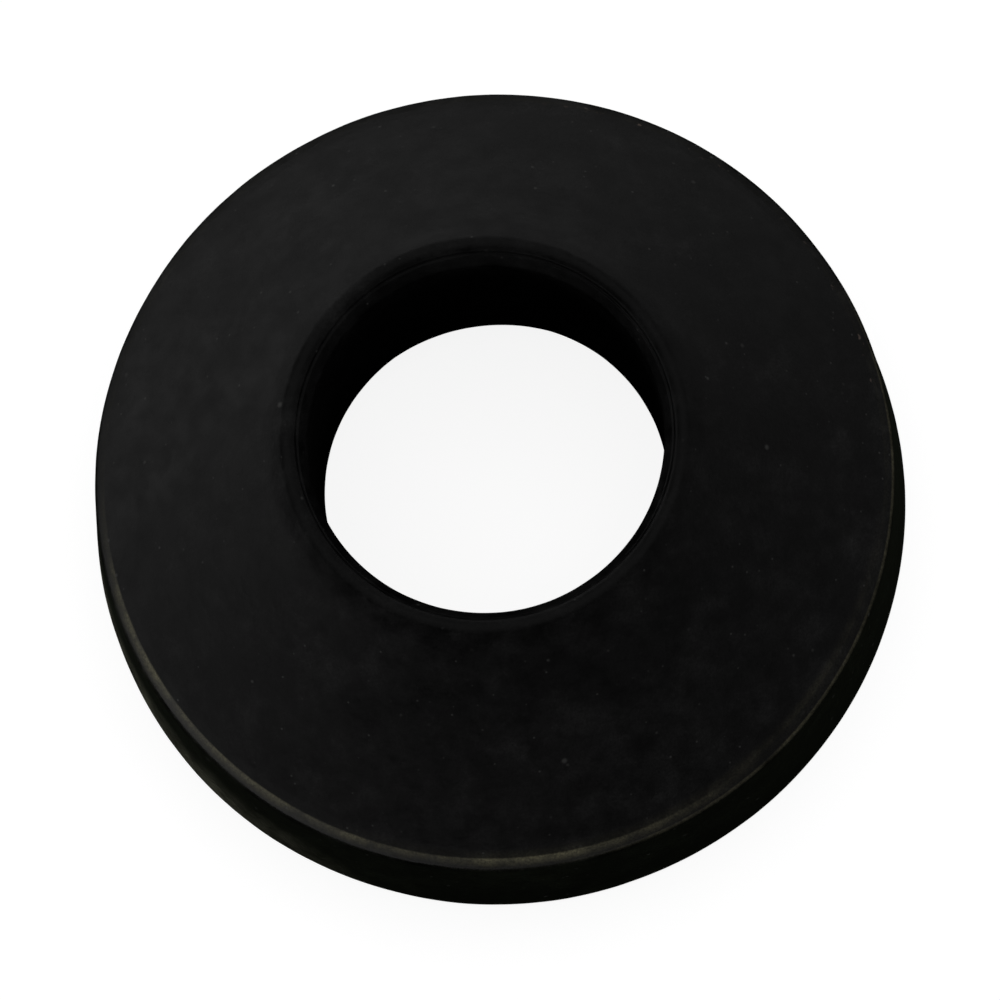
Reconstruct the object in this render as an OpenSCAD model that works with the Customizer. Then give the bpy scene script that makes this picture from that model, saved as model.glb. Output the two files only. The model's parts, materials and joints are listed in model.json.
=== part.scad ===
// Drain adapter moulded in one piece of black rubber, made to wedge into a drain mouth.
// A flat round base carries a steep side wall, a narrow shoulder band and a long
// conical seat, and a bore through the middle grips the waste pipe. The whole part is
// one section turned about the Z axis. The base lies on Z = 0 and the cone points up.

/* [Overall] */
// Diameter of the base, before its edge is rounded
base_d = 82.5; // [74:0.5:110]
// Height from the base to the crest of the nose
height = 30; // [25:0.5:40]

/* [Side wall] */
// Height of the corner where the side wall would meet the cone
wall_h = 13.1; // [8:0.1:16]
// How far the wall leans in on each side between the base and that corner
wall_lean = 1.4; // [0.4:0.1:3]
// How far up the cone the shoulder band cuts that corner back
band_w = 1.4; // [0.6:0.1:4]
// How far down the wall the band cuts it back
band_drop = 0.3; // [0.1:0.1:2]

/* [Bore] */
// Diameter of the straight part of the bore, which grips the pipe
bore_d = 34.5; // [24:0.5:44]
// Depth of the flared lead-in, which opens the bore at the base
leadin_h = 7; // [3:0.5:9]
// How far the lead-in widens the bore on each side
leadin_w = 1.8; // [0.8:0.1:3]

/* [Nose] */
// Distance from the wall of the bore to the crest of the nose
crest_w = 2.1; // [1.6:0.1:4]
// Radius of the rounded crest
crest_round = 1.4; // [0.6:0.1:1.5]
// Depth of the sloped lip, from the crest down to the straight bore
lip_h = 2.1; // [1.8:0.1:4]
// Radius of the mould's witness groove, where the crest meets the lip
groove_round = 0.2; // [0.1:0.05:0.3]

/* [Edge roundings] */
// Radius around the outside of the base
base_round = 0.9; // [0.3:0.1:2]
// Radius between the side wall and the band
shoulder_round = 1.4; // [0.3:0.1:2]
// Radius between the lip and the bore
lip_round = 0.8; // [0.3:0.1:1.2]
// Radius around the mouth of the lead-in
mouth_round = 0.5; // [0.2:0.1:1]

/* [Hidden] */
$fn = 180;
rubber_colour = [0.06, 0.06, 0.062];
hair = 0.0005;

base_r = base_d / 2;
bore_r = bore_d / 2;
crest_centre = [bore_r + crest_w, height - crest_round];

// Sharp corners of the section as [radius, height], all of them bulging outwards
leadin_mouth = [bore_r + leadin_w, 0];
base_rim = [base_r, 0];
wall_top = [base_r - wall_lean, wall_h];
lip_foot = [bore_r, height - lip_h];
leadin_top = [bore_r, leadin_h];

// The cone and the lip both run off the crest's disc at a tangent
cone_top = tangent_point(wall_top, crest_centre, crest_round, -1);
lip_top = tangent_point(lip_foot, crest_centre, crest_round, 1);

// Lower and upper edge of the shoulder band, which cuts off the corner at wall_top
shoulder = wall_top + band_drop * direction(wall_top, base_rim);
cone_edge = wall_top + band_w * direction(wall_top, cone_top);

// Each row is one corner and its rounding, in order around the section
OUTLINE = [
    [leadin_mouth, mouth_round],
    [base_rim, base_round],
    [shoulder, shoulder_round],
    [cone_edge, 0],
    [cone_top, 0],
    [lip_top, 0],
    [lip_foot, lip_round],
    [leadin_top, 0],
];

// Where a line from point p touches a disc, on its side to the left (1) or right (-1)
function tangent_point(p, centre, r, side) =
    let (
        span = norm(centre - p),
        towards = atan2(centre[1] - p[1], centre[0] - p[0]),
        turn = towards + side * asin(r / span)
    )
    p + sqrt(span * span - r * r) * [cos(turn), sin(turn)];

function direction(from, to) = (to - from) / norm(to - from);

// Half of the angle inside the corner p, between its neighbours a and b
function half_angle(a, p, b) = acos(direction(p, a) * direction(p, b)) / 2;

// Centre of the disc of radius r that touches both sides of the corner p
function rounding_centre(a, p, b, r) =
    let (inward = direction(p, a) + direction(p, b))
    p + inward / norm(inward) * r / sin(half_angle(a, p, b));

// The two points where that disc touches the corner's sides, or the bare corner
function rounding_ends(a, p, b, r) =
    r == 0 ? [p] :
    let (reach = r / tan(half_angle(a, p, b)))
    [p + reach * direction(p, a), p + reach * direction(p, b)];

function corner(i) = OUTLINE[(i + len(OUTLINE)) % len(OUTLINE)][0];
function rounding(i) = OUTLINE[i][1];

// A rounding's disc, proud of the sides it touches by a hair, so that it crosses them
// at two clear points
module rounding_disc(centre, r) {
    translate(centre)
        circle(r = r + hair);
}

// Half section of the moulding, with every rounding a true arc
module section() {
    corners = [0 : len(OUTLINE) - 1];
    difference() {
        union() {
            polygon([
                for (i = corners)
                    each rounding_ends(corner(i - 1), corner(i), corner(i + 1), rounding(i))
            ]);
            for (i = corners)
                if (rounding(i) > 0)
                    rounding_disc(
                        rounding_centre(corner(i - 1), corner(i), corner(i + 1), rounding(i)),
                        rounding(i)
                    );
            rounding_disc(crest_centre, crest_round);
        }
        translate(lip_top)
            circle(r = groove_round);
    }
}

module adapter_body() {
    color(rubber_colour)
        rotate_extrude()
            section();
}

adapter_body();
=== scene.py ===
"""The looks of a drain adapter moulded in black rubber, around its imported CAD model."""

import json
import math

import bpy
import numpy as np
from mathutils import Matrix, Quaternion, Vector


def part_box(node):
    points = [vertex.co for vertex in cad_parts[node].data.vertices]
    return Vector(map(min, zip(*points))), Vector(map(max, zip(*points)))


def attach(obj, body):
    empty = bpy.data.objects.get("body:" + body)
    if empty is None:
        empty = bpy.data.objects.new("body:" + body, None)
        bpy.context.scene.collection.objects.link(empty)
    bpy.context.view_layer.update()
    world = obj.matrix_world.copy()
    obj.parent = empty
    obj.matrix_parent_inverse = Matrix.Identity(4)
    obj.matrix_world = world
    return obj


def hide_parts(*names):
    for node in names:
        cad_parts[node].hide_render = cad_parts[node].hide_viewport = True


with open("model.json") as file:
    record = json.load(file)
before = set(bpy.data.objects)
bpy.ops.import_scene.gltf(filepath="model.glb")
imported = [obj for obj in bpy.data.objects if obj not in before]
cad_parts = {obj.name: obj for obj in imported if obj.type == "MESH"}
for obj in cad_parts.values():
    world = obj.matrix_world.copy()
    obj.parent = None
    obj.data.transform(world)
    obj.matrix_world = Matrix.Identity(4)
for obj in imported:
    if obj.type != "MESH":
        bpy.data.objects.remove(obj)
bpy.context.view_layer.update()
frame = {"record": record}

MM = 0.001


# ---------------------------------------------------------------- sizes, in millimetres

_, body_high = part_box("adapter_body")
BORE = next(m for m in frame["record"]["mounts"] if m["name"] == "pipe_bore")

# The section of the moulding
BASE_R = 41.25
HEIGHT = body_high.z / MM
WALL_H = 13.1
WALL_LEAN = 1.4
BAND_W = 1.4
BAND_DROP = 0.3
BORE_R = BORE["dims"]["r_mm"]
LEADIN_H = 7.0
LEADIN_W = 1.8
CREST_W = 2.1
CREST_ROUND = 1.4
LIP_H = 2.1

# Roundings of its other edges
MOUTH_ROUND = 0.5
BASE_ROUND = 0.9
SHOULDER_ROUND = 1.4
LIP_ROUND = 0.8
SOFT_ROUND = 0.4

# The cone eases into the crest, whose rounding is a little tighter to keep its height
EASE_W = 1.0
EASE_TURN = math.radians(6)
EASE_ROUND = 12
NOSE_ROUND = 1.2

# A narrow margin of the cone sinks a little towards its edge
MARGIN_W = 1.1
MARGIN_DROP = 0.06
MARGIN_ROUND = 5.0

# The mould's witness groove between the crest and the lip
GROOVE_HALF_W = 0.2
GROOVE_DEPTH = 0.2

# Unevenness: half the depth of its long and short waves, and the rubber that counts as base
LONG_WAVES = 0.035
SHORT_WAVES = 0.008
BASE_SKIN = 0.02

SEGMENTS = 512


# ---------------------------------------------------------------- directions

# The camera's turn about its own axis, in degrees
ROLL = -12

# Light from low, middle and high directions: brightest clock angle, least, most
LOW_GLOW = (216, 1.25, 3.4)
MID_GLOW = (170, 0.1, 1.85)
HIGH_GLOW = (328, 0.0, 0.82)

# Clock angles that the painted highlight and sheen, the lighter foot of the wall and each kind
# of wear face
SHEEN_SIDE = 138
MARGIN_SHEEN_SIDE = 85
EDGE_LINE_SIDE = 50
FOOT_SIDE = 176
GROOVED_SIDE = 275
NICKED_SIDE = 340


def image_direction(clock, elevation):
    """A direction by its clock angle in the picture, in degrees clockwise from the right."""
    a, e = math.radians(-clock - ROLL), math.radians(elevation)
    return Vector((math.cos(a) * math.cos(e), math.sin(a) * math.cos(e), math.sin(e)))


# ---------------------------------------------------------------- section

def unit(v):
    return v / np.linalg.norm(v)


def at_angle(angle):
    return np.array([math.cos(angle), math.sin(angle)])


def tangent_point(p, centre, r, side):
    """Where a line from p touches a disc, on its side to the left (1) or right (-1)."""
    span = np.linalg.norm(centre - p)
    turn = math.atan2(*(centre - p)[::-1]) + side * math.asin(r / span)
    return p + math.sqrt(span * span - r * r) * at_angle(turn)


def crossing(a, b, c, d):
    """Where the line through a and b meets the line through c and d."""
    along, across = b - a, d - c
    gap = c - a
    det = along[0] * across[1] - along[1] * across[0]
    return a + along * (gap[0] * across[1] - gap[1] * across[0]) / det


def section_corners():
    """Rows of corner, rounding, points on the rounding and points on the side after it."""
    base_rim = np.array([BASE_R, 0])
    wall_top = np.array([BASE_R - WALL_LEAN, WALL_H])
    crest = np.array([BORE_R + CREST_W, HEIGHT - CREST_ROUND])
    lip_foot = np.array([BORE_R, HEIGHT - LIP_H])
    cone_top = tangent_point(wall_top, crest, CREST_ROUND, -1)
    lip_top = tangent_point(lip_foot, crest, CREST_ROUND, 1)
    uphill = unit(cone_top - wall_top)
    ease = cone_top - EASE_W * uphill
    flatter = math.atan2(uphill[1], uphill[0]) + EASE_TURN
    nose = crossing(ease, ease + at_angle(flatter), lip_foot, lip_top)
    shoulder = wall_top + BAND_DROP * unit(base_rim - wall_top)
    cone_edge = wall_top + BAND_W * uphill
    margin = cone_edge + MARGIN_W * uphill
    sunk_edge = cone_edge - [0, MARGIN_DROP]
    rows = [
        (np.array([BORE_R + LEADIN_W, 0]), MOUTH_ROUND, 5, 6),
        (base_rim, BASE_ROUND, 9, 14),
        (shoulder, SHOULDER_ROUND, 8, 3),
        (sunk_edge, SOFT_ROUND, 3, 3),
        (margin, MARGIN_ROUND, 3, 64),
        (ease, EASE_ROUND, 6, 3),
        (nose, NOSE_ROUND, 12, 22),
        (lip_foot, LIP_ROUND, 6, 16),
        (np.array([BORE_R, LEADIN_H]), SOFT_ROUND, 3, 8),
    ]
    return rows, cone_edge, lip_top


def rounding_arc(before, corner, after, radius, steps):
    """Points along the rounding of a corner, each with its outward normal."""
    back, on = unit(before - corner), unit(after - corner)
    half = math.acos(back @ on) / 2
    centre = corner + unit(back + on) * radius / math.sin(half)
    first = math.atan2(back[0], -back[1])
    last = math.atan2(-on[0], on[1])
    sweep = (last - first) % (2 * math.pi)
    turns = [first + sweep * k / steps for k in range(steps + 1)]
    return [(centre + radius * at_angle(turn), at_angle(turn)) for turn in turns]


def rounded(rows):
    """The section's outline as points in order, with their outward normals."""
    arcs = []
    for i, (corner, radius, arc_steps, _) in enumerate(rows):
        before, after = rows[i - 1][0], rows[(i + 1) % len(rows)][0]
        arcs.append(rounding_arc(before, corner, after, radius, arc_steps))
    points, normals = [], []
    for i, (_, _, _, side_steps) in enumerate(rows):
        for point, normal in arcs[i]:
            points.append(point)
            normals.append(normal)
        start, normal = arcs[i][-1]
        stop = arcs[(i + 1) % len(rows)][0][0]
        for k in range(1, side_steps):
            points.append(start + (stop - start) * k / side_steps)
            normals.append(normal)
    return np.array(points), np.array(normals)


rows, cone_edge, lip_top = section_corners()
outline, outline_normals = rounded(rows)


# ---------------------------------------------------------------- body

def waves(where, seed, count, shortest, longest):
    """Smooth noise from -1 to 1: plane waves in random directions, wavelengths in mm."""
    rng = np.random.default_rng(seed)
    total = np.zeros(len(where))
    for _ in range(count):
        way = rng.normal(size=3)
        length = shortest * (longest / shortest) ** rng.random()
        way *= 2 * math.pi / length / np.linalg.norm(way)
        total += np.sin(where @ way + rng.random() * 2 * math.pi)
    return np.clip(total / math.sqrt(count) / 1.5, -1, 1)


def unevenness(place):
    """The moulding's gentle unevenness, which only ever takes rubber away."""
    sunk = LONG_WAVES * (1 + waves(place, 11, 40, 9, 30))
    return sunk + SHORT_WAVES * (1 + waves(place, 12, 60, 1.6, 4))


def witness_groove(place, flat, way):
    """The groove's depth, which varies along it and is greatest on the grooved side."""
    across = np.hypot(flat[:, 0] - lip_top[0], flat[:, 1] - lip_top[1]) / GROOVE_HALF_W
    groove = GROOVE_DEPTH * np.sqrt(np.clip(1 - across**2, 0, 1))
    groove *= 0.75 + 0.35 * waves(place, 13, 24, 3, 12)
    grooved_side = way @ np.array(image_direction(GROOVED_SIDE, 0))[:2]
    return groove * (0.6 + 0.4 * grooved_side)


def turned_quads(ring_count):
    """The faces between rings of SEGMENTS points, the last ring joined to the first."""
    index = np.arange(ring_count * SEGMENTS).reshape(ring_count, SEGMENTS)
    below = np.roll(index, -1, 0)
    corners = [index, np.roll(index, -1, 1), np.roll(below, -1, 1), below]
    return np.stack(corners, 2).reshape(-1, 4)


def make_body():
    turns = np.arange(SEGMENTS) * 2 * math.pi / SEGMENTS
    around = np.stack([np.cos(turns), np.sin(turns)], 1)
    flat = np.repeat(outline, SEGMENTS, 0)
    flat_normals = np.repeat(outline_normals, SEGMENTS, 0)
    way = np.tile(around, (len(outline), 1))
    place = np.column_stack([way * flat[:, :1], flat[:, 1]])
    normal = np.column_stack([way * flat_normals[:, :1], flat_normals[:, 1]])

    sunk = unevenness(place)
    sunk[flat[:, 1] < BASE_SKIN] = 0
    sunk += witness_groove(place, flat, way)
    place -= normal * sunk[:, None]

    mesh = bpy.data.meshes.new("moulding")
    mesh.from_pydata(place * MM, [], turned_quads(len(outline)).tolist())
    mesh.update()
    mesh.shade_smooth()
    body = bpy.data.objects.new("moulding", mesh)
    bpy.context.scene.collection.objects.link(body)
    return body


# ---------------------------------------------------------------- nodes

class Nodes:
    """The nodes of one material, world or floor, added with few words."""

    def __init__(self, tree):
        self.tree = tree

    def add(self, kind, inputs=None, **settings):
        """Adds a node. An input is a value, or an output socket to link from."""
        made = self.tree.nodes.new("ShaderNode" + kind)
        for name, value in settings.items():
            setattr(made, name, value)
        for name, value in (inputs or {}).items():
            if isinstance(value, bpy.types.NodeSocket):
                self.link(value, made.inputs[name])
            else:
                made.inputs[name].default_value = value
        return made

    def link(self, output, target):
        self.tree.links.new(output, target)

    def math(self, operation, a, b=0.0):
        return self.add("Math", {0: a, 1: b}, operation=operation).outputs[0]

    def sum(self, a, b):
        return self.math("ADD", a, b)

    def times(self, a, b):
        return self.math("MULTIPLY", a, b)

    def less(self, a, b):
        return self.math("SUBTRACT", a, b)

    def dot(self, a, b):
        return self.add("VectorMath", {0: a, 1: b}, operation="DOT_PRODUCT").outputs["Value"]

    def fade(self, value, start, stop, low=0.0, high=1.0):
        """Goes smoothly from low at start to high at stop."""
        levels = {"Value": value, "From Min": start, "From Max": stop}
        levels.update({"To Min": low, "To Max": high})
        return self.add("MapRange", levels, interpolation_type="SMOOTHSTEP").outputs[0]

    def shifted(self, place, shift):
        return self.add("VectorMath", {0: place, 1: shift}).outputs[0]

    def noise(self, place, size, detail, roughness, seed):
        """Cloudy noise from 0 to 1 whose features are about size across."""
        moved = self.shifted(place, (seed, 1.7 * seed, -seed))
        settings = {"Vector": moved, "Scale": 1 / size, "Detail": detail, "Roughness": roughness}
        return self.add("TexNoise", settings).outputs["Fac"]

    def mix(self, factor, a, b):
        """From colour a at factor 0 to colour b at 1."""
        return self.add("Mix", {0: factor, 6: a, 7: b}, data_type="RGBA").outputs[2]


# ---------------------------------------------------------------- rubber

# Colours of the rubber and of what is on it, among them painted reflection, highlight, sheen and
# shade
PLAIN = (0.0013, 0.0013, 0.00132, 1)
SMUDGED = (0.0038, 0.0038, 0.0038, 1)
# The wall's olive tint, a painted reflection of olive surroundings
WALL_REFLECTION_TINT = (0.001, 0.0013, 0.0007, 1)
# Pale beige for the painted highlight and sheen on the band and cone margin, partly real wear on
# the edge line
SHEEN_AND_WEAR = (0.029, 0.0268, 0.0165, 1)
# Lighter tone for the foot of the wall
FOOT_TONE = (0.035, 0.035, 0.026, 1)
# Painted shade: the rubber darker down the bore, where shade falls deep in the hole
HOLE_SHADE = (0.0004, 0.0004, 0.0004, 1)
SPECK = (0.028, 0.028, 0.027, 1)
NICK = (0.05, 0.038, 0.032, 1)

# Dust specks: how far apart, how big and a seed
SPECKS = ((1.4, 0.16, 0.0), (2.9, 0.25, 21.0), (6.5, 0.4, 44.0))

# Height of the bump in millimetres, and the rubber's gloss
BUMP = 0.03
GLOSS = 0.05


class Spot:
    """Where a point of the rubber lies: its place in mm, height, radius and side."""

    def __init__(self, n):
        self.n = n
        metres = n.add("TexCoord").outputs["Object"]
        scaled = n.add("VectorMath", {0: metres, "Scale": 1 / MM}, operation="SCALE")
        self.place = scaled.outputs[0]
        x, y, self.height = n.add("SeparateXYZ", {0: self.place}).outputs
        flat = n.add("CombineXYZ", {0: x, 1: y}).outputs[0]
        self.radius = n.add("VectorMath", {0: flat}, operation="LENGTH").outputs["Value"]
        self.outwards = n.add("VectorMath", {0: flat}, operation="NORMALIZE").outputs[0]

    def facing(self, clock, start, stop):
        """Goes from 0 to 1 as the surface comes round to face a clock angle."""
        cosine = self.n.dot(self.outwards, image_direction(clock, 0))
        return self.n.fade(cosine, start, stop)

    def apart(self, radius):
        """How far the surface is inside or outside this radius."""
        return self.n.math("ABSOLUTE", self.n.less(self.radius, radius))


class Zones:
    """Parts of the surface, each of them 1 inside and 0 outside."""

    def __init__(self, n, spot):
        self.outside = n.fade(spot.radius, cone_edge[0] - 0.12, cone_edge[0] + 0.1)
        below_shoulder = n.fade(spot.height, WALL_H + 0.2, WALL_H - 0.8)
        self.wall = n.times(self.outside, below_shoulder)
        self.band = n.times(self.outside, n.less(1.0, below_shoulder))
        # The lit side of the band, where its painted highlight goes
        self.sheen_band = n.times(self.band, spot.facing(SHEEN_SIDE, 0.35, 0.9))
        below_lip = n.fade(spot.height, HEIGHT - LIP_H - 0.2, HEIGHT - LIP_H - 1.2)
        mouth_r = BORE_R + LEADIN_W
        self.hole = n.times(below_lip, n.fade(spot.radius, mouth_r + 0.8, mouth_r + 0.4))


class Mottling:
    """Cloudy patterns, from large to small, left by moulding and handling."""

    def __init__(self, n, place):
        self.drift = n.noise(place, 14, 3, 0.5, 8)
        self.smudges = n.noise(place, 5.0, 7, 0.72, 33)
        self.clouds = n.noise(place, 3.0, 6, 0.68, 3)
        self.patches = n.noise(place, 1.4, 3, 0.6, 27)
        self.pimples = n.noise(place, 1.0, 3, 0.6, 2)
        self.grain = n.noise(place, 0.25, 2, 0.7, 5)


def sheen_and_wear(n, spot, zones):
    """How strongly painted highlight and sheen show: a painted highlight on the band, strongest
    on its lit side, a painted sheen on the cone's margin, and a thin line near the shoulder that
    is partly wear and partly painted highlight.
    """
    sheen = n.sum(n.times(zones.band, 0.04), n.times(zones.sheen_band, 0.96))
    fading = n.fade(spot.height, cone_edge[1] - 1.0, cone_edge[1] - 0.05, 0.05, 1.0)
    sheen = n.times(sheen, fading)
    margin_sheen = n.fade(spot.radius, cone_edge[0] - 0.9, cone_edge[0] - 0.1, 0.0, 0.11)
    margin_sheen = n.times(margin_sheen, spot.facing(MARGIN_SHEEN_SIDE, 0.5, 0.95))
    sheen = n.sum(sheen, n.times(margin_sheen, n.less(1.0, zones.outside)))
    edge_line = n.fade(spot.apart(BASE_R - WALL_LEAN - 0.22), 0.2, 0.05, 0.0, 0.5)
    edge_line = n.times(n.times(edge_line, zones.band), spot.facing(EDGE_LINE_SIDE, 0.5, 0.85))
    return n.math("MAXIMUM", sheen, edge_line)


def lighter_foot(n, spot, zones, mottling):
    """How much lighter the wall is towards its foot, a little all round and most on one side."""
    thin = n.fade(spot.height, 2.5, 0.0, 0.0, 0.04)
    wide = n.fade(spot.height, 9.0, 0.0, 0.0, 0.9)
    wide = n.times(wide, spot.facing(FOOT_SIDE, 0.7, 0.97))
    patchy = n.fade(mottling.patches, 0.3, 0.7, 0.85, 1.05)
    return n.times(n.sum(thin, wide), n.times(zones.wall, patchy))


def mottled(n, mottling, colour):
    """The colour, lighter and darker in clouds."""
    tone = n.fade(mottling.clouds, 0.3, 0.7, 0.4, 1.9)
    tone = n.times(tone, n.fade(mottling.drift, 0.3, 0.7, 0.7, 1.4))
    tone = n.times(tone, n.fade(mottling.grain, 0.2, 0.8, 0.5, 1.6))
    shade = n.add("CombineXYZ", {0: tone, 1: tone, 2: tone}).outputs[0]
    return n.add("VectorMath", {0: colour, 1: shade}, operation="MULTIPLY").outputs[0]


def specks(n, spot):
    """How strongly dust specks show, each a spot round a random point."""
    dust = 0.0
    for spacing, reach, seed in SPECKS:
        moved = n.shifted(spot.place, (seed, seed, seed))
        cells = n.add("TexVoronoi", {"Vector": moved, "Scale": 1 / spacing})
        near = n.fade(cells.outputs["Distance"], reach / spacing, 0.3 * reach / spacing)
        pick = n.add("SeparateColor", {0: cells.outputs["Color"]}).outputs[0]
        dust = n.sum(dust, n.times(near, n.fade(pick, 0.15, 1.0, 0.0, 0.75)))
    return dust


def nicks(n, spot, mottling):
    """Where the edge of the cone is nicked."""
    near_edge = n.fade(spot.apart(cone_edge[0]), 0.45, 0.15)
    near_edge = n.times(near_edge, spot.facing(NICKED_SIDE, 0.7, 0.95))
    return n.times(near_edge, n.fade(mottling.patches, 0.6, 0.68))


def rubber_colour(n, spot, zones, mottling):
    colour = n.mix(n.fade(mottling.smudges, 0.42, 0.78), PLAIN, SMUDGED)
    # Painted reflection: the wall takes the olive tint
    colour = n.mix(zones.wall, colour, WALL_REFLECTION_TINT)
    # Painted highlight and sheen on the band and margin, with a line that is partly wear
    colour = n.mix(sheen_and_wear(n, spot, zones), colour, SHEEN_AND_WEAR)
    # The wall gets lighter towards its foot, most on one side
    colour = n.mix(lighter_foot(n, spot, zones, mottling), colour, FOOT_TONE)
    # Painted shade darkens the rubber down the bore
    colour = n.mix(zones.hole, colour, HOLE_SHADE)
    colour = mottled(n, mottling, colour)
    colour = n.mix(specks(n, spot), colour, SPECK)
    return n.mix(nicks(n, spot, mottling), colour, NICK)


def rubber_roughness(n, zones, mottling):
    rough = n.fade(mottling.clouds, 0.3, 0.7, 0.37, 0.53)
    rough = n.sum(rough, n.fade(mottling.drift, 0.3, 0.7, -0.04, 0.04))
    rough = n.sum(rough, n.times(zones.sheen_band, -0.25))
    rough = n.sum(rough, n.times(zones.wall, -0.05))
    return n.sum(rough, n.times(zones.hole, 0.3))


def rubber_normal(n, mottling):
    relief = n.sum(n.times(mottling.grain, 0.25), mottling.pimples)
    return n.add("Bump", {"Height": relief, "Distance": BUMP * MM, "Strength": 1.0}).outputs[0]


def rubber():
    """Matt black rubber: dusty and mottled on its cone, smoother on its wall, whose olive tint
    is a painted reflection.
    """
    material = bpy.data.materials.new("black_rubber")
    material.use_nodes = True
    n = Nodes(material.node_tree)
    spot = Spot(n)
    zones = Zones(n, spot)
    mottling = Mottling(n, spot.place)
    shader = material.node_tree.nodes["Principled BSDF"].inputs
    n.link(rubber_colour(n, spot, zones, mottling), shader["Base Color"])
    n.link(rubber_roughness(n, zones, mottling), shader["Roughness"])
    n.link(rubber_normal(n, mottling), shader["Normal"])
    shader["Specular IOR Level"].default_value = GLOSS
    return material


# ---------------------------------------------------------------- stage, in metres

FLOOR_HALF = 2.0
FLOOR_GAP = 0.00005

# For all rays but the camera's, the floor is a small plinth, with painted shade that makes it
# near black under the part
PLINTH = (0.03, 0.034, 0.024, 1)
UNDER_PART_SHADE = (0.002, 0.002, 0.002, 1)
SHADE_FADE = (0.022, 0.032)
PLINTH_END = (0.085, 0.095)

# For the camera, it is mostly a white glow, and partly a white surface that takes shadow
GLOW_SHARE = 0.75
GLOW = 1.17
PALE = (0.9, 0.9, 0.9, 1)
WHITE = (1, 1, 1, 1)

# Heights on the unit sphere where the world's low light starts, and where its middle and
# high light take over
LOW_START = (-0.19, -0.07)
MID_START = (0.11, 0.17)
HIGH_START = (0.2, 0.27)

CAMERA_ELEVATION = 76
CAMERA_DISTANCE = 0.55
CAMERA_AIM = Vector((0.00012, 0, 0.0025))
CAMERA_LENS = 195.5
SENSOR = 36
CLIP = (0.01, 20)


def seen_and_unseen(n, seen, unseen):
    """One shader for the camera's rays and one for all others."""
    by_camera = n.add("LightPath").outputs["Is Camera Ray"]
    return n.add("MixShader", {0: by_camera, 1: unseen, 2: seen}).outputs[0]


def pale_floor():
    material = bpy.data.materials.new("pale_floor")
    material.use_nodes = True
    n = Nodes(material.node_tree)
    material.node_tree.nodes.clear()
    place = n.add("TexCoord").outputs["Object"]
    away = n.add("VectorMath", {0: place}, operation="LENGTH").outputs["Value"]
    # The plinth's colour, with painted shade near black under the part
    plinth_with_shade = n.mix(n.fade(away, *SHADE_FADE), UNDER_PART_SHADE, PLINTH)
    matt = n.add("BsdfDiffuse", {"Color": plinth_with_shade}).outputs[0]
    open_air = n.add("BsdfTransparent").outputs[0]
    plinth = n.add("MixShader", {0: n.fade(away, *PLINTH_END), 1: matt, 2: open_air}).outputs[0]
    glow = n.add("Emission", {"Color": WHITE, "Strength": GLOW}).outputs[0]
    shadowed = n.add("BsdfDiffuse", {"Color": PALE}).outputs[0]
    shown = n.add("MixShader", {0: GLOW_SHARE, 1: shadowed, 2: glow}).outputs[0]
    n.add("OutputMaterial", {"Surface": seen_and_unseen(n, shown, plinth)})
    return material


def make_floor():
    h = FLOOR_HALF
    mesh = bpy.data.meshes.new("floor")
    mesh.from_pydata([(-h, -h, 0), (h, -h, 0), (h, h, 0), (-h, h, 0)], [], [(0, 1, 2, 3)])
    mesh.materials.append(pale_floor())
    floor = bpy.data.objects.new("floor", mesh)
    floor.location.z = -FLOOR_GAP
    bpy.context.scene.collection.objects.link(floor)


def make_world():
    """White for the camera. What lights the rubber is dim, and brighter near the horizon."""
    world = bpy.data.worlds.new("studio")
    bpy.context.scene.world = world
    world.use_nodes = True
    n = Nodes(world.node_tree)
    world.node_tree.nodes.clear()
    way = n.add("TexCoord").outputs["Generated"]
    up = n.add("SeparateXYZ", {0: way}).outputs[2]

    def glow(clock, least, most):
        return n.fade(n.dot(way, image_direction(clock, 0)), -1.0, 1.0, least, most)

    low, middle, high = glow(*LOW_GLOW), glow(*MID_GLOW), glow(*HIGH_GLOW)
    strength = n.times(low, n.fade(up, *LOW_START))
    strength = n.sum(strength, n.times(n.fade(up, *MID_START), n.less(middle, low)))
    strength = n.sum(strength, n.times(n.fade(up, *HIGH_START), n.less(high, middle)))
    dim = n.add("Background", {"Color": WHITE, "Strength": strength}).outputs[0]
    white = n.add("Background", {"Color": WHITE, "Strength": 1.0}).outputs[0]
    n.add("OutputWorld", {"Surface": seen_and_unseen(n, white, dim)})


def make_lamp(name, clock, elevation, distance, size, power):
    """A square soft lamp that points at the part."""
    light = bpy.data.lights.new(name, "AREA")
    light.size = size
    light.energy = power
    lamp = bpy.data.objects.new(name, light)
    way = image_direction(clock, elevation)
    lamp.location = way * distance + Vector((0, 0, body_high.z / 2))
    lamp.rotation_mode = "QUATERNION"
    lamp.rotation_quaternion = way.to_track_quat("Z", "Y")
    lamp.visible_camera = False
    bpy.context.scene.collection.objects.link(lamp)


def make_camera():
    data = bpy.data.cameras.new("camera")
    data.sensor_width = SENSOR
    data.lens = CAMERA_LENS
    data.clip_start, data.clip_end = CLIP
    camera = bpy.data.objects.new("camera", data)
    elevation = math.radians(CAMERA_ELEVATION)
    back = Vector((0, -math.cos(elevation), math.sin(elevation)))
    camera.location = CAMERA_AIM + back * CAMERA_DISTANCE
    camera.rotation_mode = "QUATERNION"
    upright = (-back).to_track_quat("-Z", "Y")
    camera.rotation_quaternion = upright @ Quaternion((0, 0, 1), math.radians(ROLL))
    bpy.context.scene.collection.objects.link(camera)
    bpy.context.scene.camera = camera


make_camera()
make_floor()
make_world()
make_lamp("ceiling", clock=240, elevation=80, distance=1.25, size=1.5, power=6)

body = make_body()
body.data.materials.append(rubber())
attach(body, "root")
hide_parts("adapter_body")

bpy.context.scene.view_settings.view_transform = "Standard"
